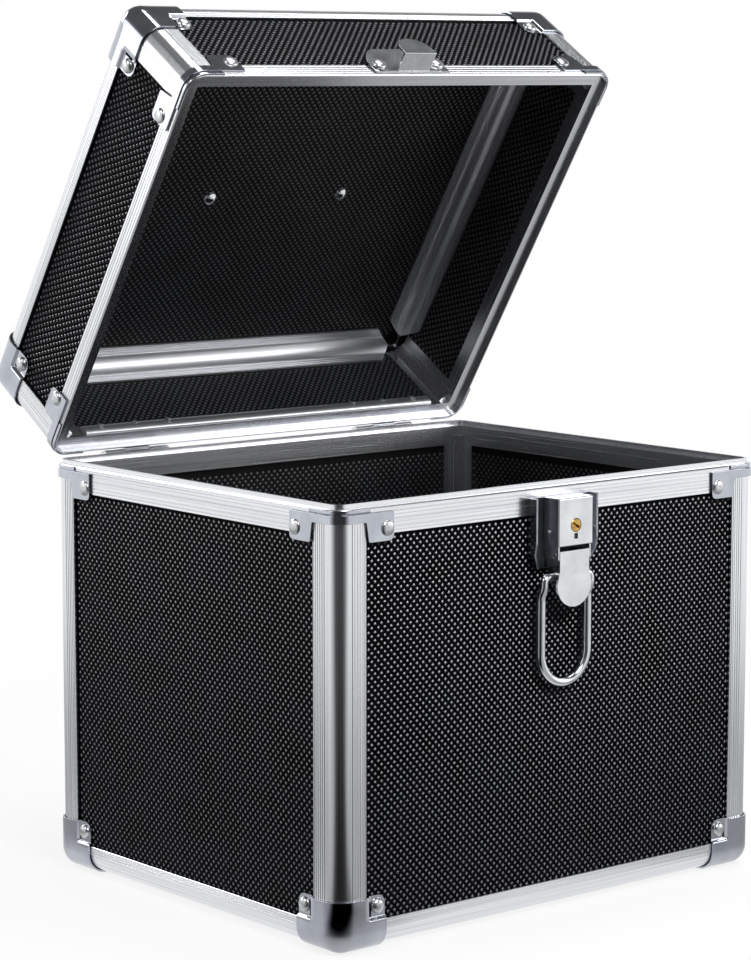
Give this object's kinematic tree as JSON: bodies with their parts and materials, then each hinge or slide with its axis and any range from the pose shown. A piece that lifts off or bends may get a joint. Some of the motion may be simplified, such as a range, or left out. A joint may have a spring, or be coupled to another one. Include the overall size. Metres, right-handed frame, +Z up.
{
  "type": "record carrying case",
  "caption": "Black panelled carrying case with aluminium edge profiles, chromed corners, hinged lid, key latch with wire bail and a handle.",
  "frame": {"origin": "on the floor under the chromed corners, at the middle of the case's width and of the depth that the case covers with its lid open", "axes": "+Z up, +X along the width to the right seen from the front, -Y towards the front with the latch"},
  "size_m": [0.3516, 0.3698, 0.5478],
  "materials": {
    "profiles": "brushed and anodised, with fine lengthwise lines",
    "corners": "bright chrome plated pressed steel",
    "panels": "black laminate embossed with small pyramids, semi-gloss",
    "latch_steel": "nickel plated steel, polished",
    "cylinder_brass": "turned brass",
    "handle_plastic": "black moulded plastic, fine grain",
    "key_nickel": "nickel plated, stamped"
  },
  "bodies": {
    "box": {"box_front_panel": "panels", "box_rear_panel": "panels", "box_left_panel": "panels", "box_right_panel": "panels", "box_bottom_panel": "panels", "box_post_front_left": "profiles", "box_post_front_right": "profiles", "box_post_rear_left": "profiles", "box_post_rear_right": "profiles", "box_base_frame": "profiles", "box_rim_frame": "profiles", "box_corner_front_left": "corners", "box_corner_front_right": "corners", "box_corner_rear_left": "corners", "box_corner_rear_right": "corners", "box_rim_cap_front_left": "corners", "box_rim_cap_front_right": "corners", "box_rim_cap_rear_left": "corners", "box_rim_cap_rear_right": "corners", "hinge_left_lower_leaf": "latch_steel", "hinge_left_pin": "latch_steel", "hinge_right_lower_leaf": "latch_steel", "hinge_right_pin": "latch_steel", "latch_base_plate": "latch_steel", "latch_lock_body": "latch_steel", "latch_lever_pin": "latch_steel"},
    "lid": {"lid_top_panel": "panels", "lid_front_panel": "panels", "lid_rear_panel": "panels", "lid_left_panel": "panels", "lid_right_panel": "panels", "lid_post_front_left": "profiles", "lid_post_front_right": "profiles", "lid_post_rear_left": "profiles", "lid_post_rear_right": "profiles", "lid_rim_frame": "profiles", "lid_top_frame": "profiles", "lid_corner_front_left": "corners", "lid_corner_front_right": "corners", "lid_corner_rear_left": "corners", "lid_corner_rear_right": "corners", "lid_rim_cap_front_left": "corners", "lid_rim_cap_front_right": "corners", "lid_rim_cap_rear_left": "corners", "lid_rim_cap_rear_right": "corners", "lid_inner_strip_front": "profiles", "lid_inner_strip_rear": "profiles", "lid_inner_strip_left": "profiles", "lid_inner_strip_right": "profiles", "hinge_left_upper_leaf": "latch_steel", "hinge_right_upper_leaf": "latch_steel", "latch_strike": "latch_steel", "handle": "handle_plastic", "handle_bolt_left": "latch_steel", "handle_bolt_right": "latch_steel"},
    "lock_cylinder": {"latch_lock_cylinder": "cylinder_brass"},
    "lever": {"latch_lever": "latch_steel"},
    "bail": {"latch_bail": "latch_steel"},
    "key_first": {"key_first": "key_nickel"},
    "key_second": {"key_second": "key_nickel"}
  },
  "joints": [
    {"name": "lid_hinge", "type": "hinge", "parent": "box", "child": "lid", "pos_m": [0, 0.1204, 0.2615], "axis": [-1, 0, 0], "range_deg": [-57.5, 37.5]},
    {"name": "lock_turn", "type": "hinge", "parent": "box", "child": "lock_cylinder", "pos_m": [0, -0.1849, 0.2392], "axis": [0, -1, 0], "range_deg": [0, 90]},
    {"name": "lever_hinge", "type": "hinge", "parent": "box", "child": "lever", "pos_m": [0, -0.1806, 0.2213], "axis": [-1, 0, 0], "range_deg": [0, 100]},
    {"name": "bail_hinge", "type": "hinge", "parent": "lever", "child": "bail", "pos_m": [0, -0.1776, 0.2081], "axis": [1, 0, 0], "range_deg": [-183, 3]},
    {"name": "key_first_lift", "type": "slide", "parent": "box", "child": "key_first", "axis": [0, 0, 1], "range_m": [0, 0.2]},
    {"name": "key_second_lift", "type": "slide", "parent": "box", "child": "key_second", "axis": [0, 0, 1], "range_m": [0, 0.2]}
  ]
}
